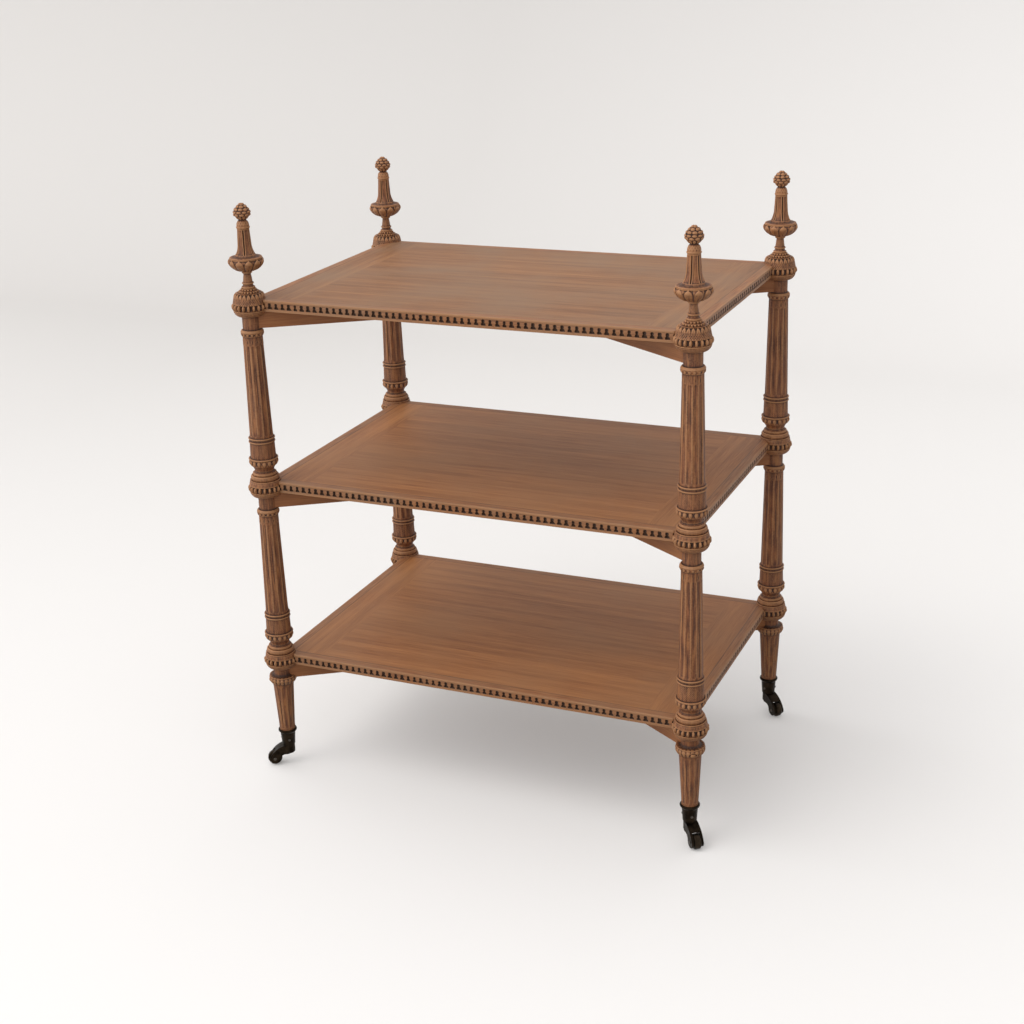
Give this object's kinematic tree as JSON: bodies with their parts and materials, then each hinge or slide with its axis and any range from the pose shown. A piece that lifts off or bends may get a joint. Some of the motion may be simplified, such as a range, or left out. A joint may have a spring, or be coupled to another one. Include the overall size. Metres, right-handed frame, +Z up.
{
  "type": "three-tier display stand",
  "caption": "Tiered wooden display stand: turned fluted posts with finials carry bead-edged shelves on diagonal rails and roll on swivelling cup castors.",
  "frame": {"origin": "on the floor, at the centre of the stand's footprint", "axes": "+Z up, +X along the long side of the shelves, front towards -Y"},
  "size_m": [0.9383, 0.6318, 1.15],
  "materials": {
    "turned_wood": "limed, worn",
    "shelf_wood": "waxed, worn",
    "moulding_wood": "waxed",
    "rail_wood": "plain",
    "castor_iron": "black, worn",
    "castor_wheel_iron": "black, worn",
    "steel": "dull"
  },
  "bodies": {
    "stand": {"castor_cup_back_left": "castor_iron", "castor_cup_back_right": "castor_iron", "castor_cup_front_left": "castor_iron", "castor_cup_front_right": "castor_iron", "castor_cup_screws": "steel", "finial_back_left": "turned_wood", "finial_back_right": "turned_wood", "finial_front_left": "turned_wood", "finial_front_right": "turned_wood", "leg_back_left": "turned_wood", "leg_back_right": "turned_wood", "leg_front_left": "turned_wood", "leg_front_right": "turned_wood", "lower_column_back_left": "turned_wood", "lower_column_back_right": "turned_wood", "lower_column_front_left": "turned_wood", "lower_column_front_right": "turned_wood", "moulding_back_bottom": "moulding_wood", "moulding_back_middle": "moulding_wood", "moulding_back_top": "moulding_wood", "moulding_front_bottom": "moulding_wood", "moulding_front_middle": "moulding_wood", "moulding_front_top": "moulding_wood", "moulding_left_bottom": "moulding_wood", "moulding_left_middle": "moulding_wood", "moulding_left_top": "moulding_wood", "moulding_right_bottom": "moulding_wood", "moulding_right_middle": "moulding_wood", "moulding_right_top": "moulding_wood", "rail_falling_bottom": "rail_wood", "rail_falling_middle": "rail_wood", "rail_falling_top": "rail_wood", "rail_rising_bottom": "rail_wood", "rail_rising_middle": "rail_wood", "rail_rising_top": "rail_wood", "shelf_ends_bottom": "shelf_wood", "shelf_ends_middle": "shelf_wood", "shelf_ends_top": "shelf_wood", "shelf_panel_bottom": "shelf_wood", "shelf_panel_middle": "shelf_wood", "shelf_panel_top": "shelf_wood", "shelf_screws": "steel", "upper_column_back_left": "turned_wood", "upper_column_back_right": "turned_wood", "upper_column_front_left": "turned_wood", "upper_column_front_right": "turned_wood"},
    "swivel_front_left": {"castor_horn_front_left": "castor_iron", "castor_axle_front_left": "steel"},
    "wheel_front_left": {"castor_wheel_front_left": "castor_wheel_iron"},
    "swivel_front_right": {"castor_horn_front_right": "castor_iron", "castor_axle_front_right": "steel"},
    "wheel_front_right": {"castor_wheel_front_right": "castor_wheel_iron"},
    "swivel_back_right": {"castor_horn_back_right": "castor_iron", "castor_axle_back_right": "steel"},
    "wheel_back_right": {"castor_wheel_back_right": "castor_wheel_iron"},
    "swivel_back_left": {"castor_horn_back_left": "castor_iron", "castor_axle_back_left": "steel"},
    "wheel_back_left": {"castor_wheel_back_left": "castor_wheel_iron"}
  },
  "joints": [
    {"name": "castor_swivel_front_left", "type": "hinge", "parent": "stand", "child": "swivel_front_left", "pos_m": [-0.429, -0.277, 0.04415], "axis": [0, 0, 1], "continuous": true},
    {"name": "castor_roll_front_left", "type": "hinge", "parent": "swivel_front_left", "child": "wheel_front_left", "pos_m": [-0.45498, -0.292, 0.0145], "axis": [0.5, -0.866, 0], "continuous": true},
    {"name": "castor_swivel_front_right", "type": "hinge", "parent": "stand", "child": "swivel_front_right", "pos_m": [0.429, -0.277, 0.04415], "axis": [0, 0, 1], "continuous": true},
    {"name": "castor_roll_front_right", "type": "hinge", "parent": "swivel_front_right", "child": "wheel_front_right", "pos_m": [0.44828, -0.29998, 0.0145], "axis": [0.766, 0.6428, 0], "continuous": true},
    {"name": "castor_swivel_back_right", "type": "hinge", "parent": "stand", "child": "swivel_back_right", "pos_m": [0.429, 0.277, 0.04415], "axis": [0, 0, 1], "continuous": true},
    {"name": "castor_roll_back_right", "type": "hinge", "parent": "swivel_back_right", "child": "wheel_back_right", "pos_m": [0.45198, 0.25772, 0.0145], "axis": [0.6428, 0.766, 0], "continuous": true},
    {"name": "castor_swivel_back_left", "type": "hinge", "parent": "stand", "child": "swivel_back_left", "pos_m": [-0.429, 0.277, 0.04415], "axis": [0, 0, 1], "continuous": true},
    {"name": "castor_roll_back_left", "type": "hinge", "parent": "swivel_back_left", "child": "wheel_back_left", "pos_m": [-0.44828, 0.29998, 0.0145], "axis": [-0.766, -0.6428, 0], "continuous": true}
  ]
}
